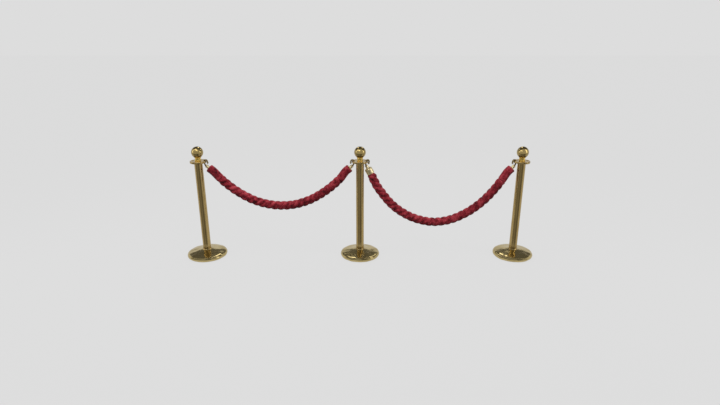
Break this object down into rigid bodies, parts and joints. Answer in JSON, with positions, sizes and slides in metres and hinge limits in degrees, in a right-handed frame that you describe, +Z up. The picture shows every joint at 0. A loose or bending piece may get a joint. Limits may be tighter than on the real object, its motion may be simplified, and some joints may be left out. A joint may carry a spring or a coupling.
{
  "type": "rope barrier",
  "caption": "Row of ball-topped brass stanchions joined by twisted red velvet ropes, whose swivelling crook hooks hang in holed collars.",
  "frame": {"origin": "on the floor under the middle stanchion, at the bottom centre of the row", "axes": "+X along the row to the picture's right, +Y away from the viewer, +Z up"},
  "size_m": [2.881, 0.321, 0.9267],
  "materials": {
    "polished_brass": "polished and lacquered",
    "velvet": "short pile velvet",
    "cast_iron": "painted casting",
    "zinc_steel": "zinc plated",
    "pad_rubber": "matt"
  },
  "bodies": {
    "row": {"floor_pad_left": "pad_rubber", "floor_pad_middle": "pad_rubber", "floor_pad_right": "pad_rubber", "base_weight_left": "cast_iron", "base_weight_middle": "cast_iron", "base_weight_right": "cast_iron", "base_cover_left": "polished_brass", "base_cover_middle": "polished_brass", "base_cover_right": "polished_brass", "foot_ring_left": "polished_brass", "foot_ring_middle": "polished_brass", "foot_ring_right": "polished_brass", "post_tube_left": "polished_brass", "post_tube_middle": "polished_brass", "post_tube_right": "polished_brass", "foot_plug_left": "zinc_steel", "foot_plug_middle": "zinc_steel", "foot_plug_right": "zinc_steel", "top_plug_left": "zinc_steel", "top_plug_middle": "zinc_steel", "top_plug_right": "zinc_steel", "tie_rod_left": "zinc_steel", "tie_rod_middle": "zinc_steel", "tie_rod_right": "zinc_steel", "base_washer_left": "zinc_steel", "base_washer_middle": "zinc_steel", "base_washer_right": "zinc_steel", "base_nut_left": "zinc_steel", "base_nut_middle": "zinc_steel", "base_nut_right": "zinc_steel", "collar_left": "polished_brass", "collar_middle": "polished_brass", "collar_right": "polished_brass", "ferrule_left_outer": "polished_brass", "ferrule_left_inner": "polished_brass", "ferrule_right_inner": "polished_brass", "ferrule_right_outer": "polished_brass", "cuff_left_outer": "velvet", "cuff_left_inner": "velvet", "cuff_right_outer": "velvet", "rope_left": "velvet", "rope_right": "velvet"},
    "finial_left": {"finial_neck_left": "polished_brass", "finial_ball_left": "polished_brass"},
    "finial_middle": {"finial_neck_middle": "polished_brass", "finial_ball_middle": "polished_brass"},
    "finial_right": {"finial_neck_right": "polished_brass", "finial_ball_right": "polished_brass"},
    "swivel_hook_left_outer": {"hook_left_outer": "polished_brass", "hook_nut_left_outer": "zinc_steel"},
    "swivel_hook_left_inner": {"hook_left_inner": "polished_brass", "hook_nut_left_inner": "zinc_steel"},
    "swivel_hook_right_inner": {"hook_right_inner": "polished_brass", "hook_nut_right_inner": "zinc_steel"},
    "swivel_hook_right_outer": {"hook_right_outer": "polished_brass", "hook_nut_right_outer": "zinc_steel"}
  },
  "joints": [
    {"name": "unscrew_finial_left", "type": "hinge", "parent": "row", "child": "finial_left", "pos_m": [-1.28, 0, 0.813], "axis": [0, 0, 1], "continuous": true},
    {"name": "unscrew_finial_middle", "type": "hinge", "parent": "row", "child": "finial_middle", "pos_m": [0, 0, 0.813], "axis": [0, 0, 1], "continuous": true},
    {"name": "unscrew_finial_right", "type": "hinge", "parent": "row", "child": "finial_right", "pos_m": [1.28, 0, 0.813], "axis": [0, 0, 1], "continuous": true},
    {"name": "swivel_hook_left_outer_turn", "type": "hinge", "parent": "row", "child": "swivel_hook_left_outer", "pos_m": [-1.21921, 0, 0.77211], "axis": [0.7547, 0, -0.6561], "range_deg": [-4, 4]},
    {"name": "swivel_hook_left_inner_turn", "type": "hinge", "parent": "row", "child": "swivel_hook_left_inner", "pos_m": [-0.06078, 0, 0.77211], "axis": [-0.7547, 0, -0.6561], "range_deg": [-4, 4]},
    {"name": "swivel_hook_right_inner_turn", "type": "hinge", "parent": "row", "child": "swivel_hook_right_inner", "pos_m": [0.04923, 0, 0.77389], "axis": [0.5, 0, -0.866], "range_deg": [-4, 4]},
    {"name": "swivel_hook_right_outer_turn", "type": "hinge", "parent": "row", "child": "swivel_hook_right_outer", "pos_m": [1.22292, 0, 0.77225], "axis": [-0.682, 0, -0.7314], "range_deg": [-4, 4]}
  ]
}
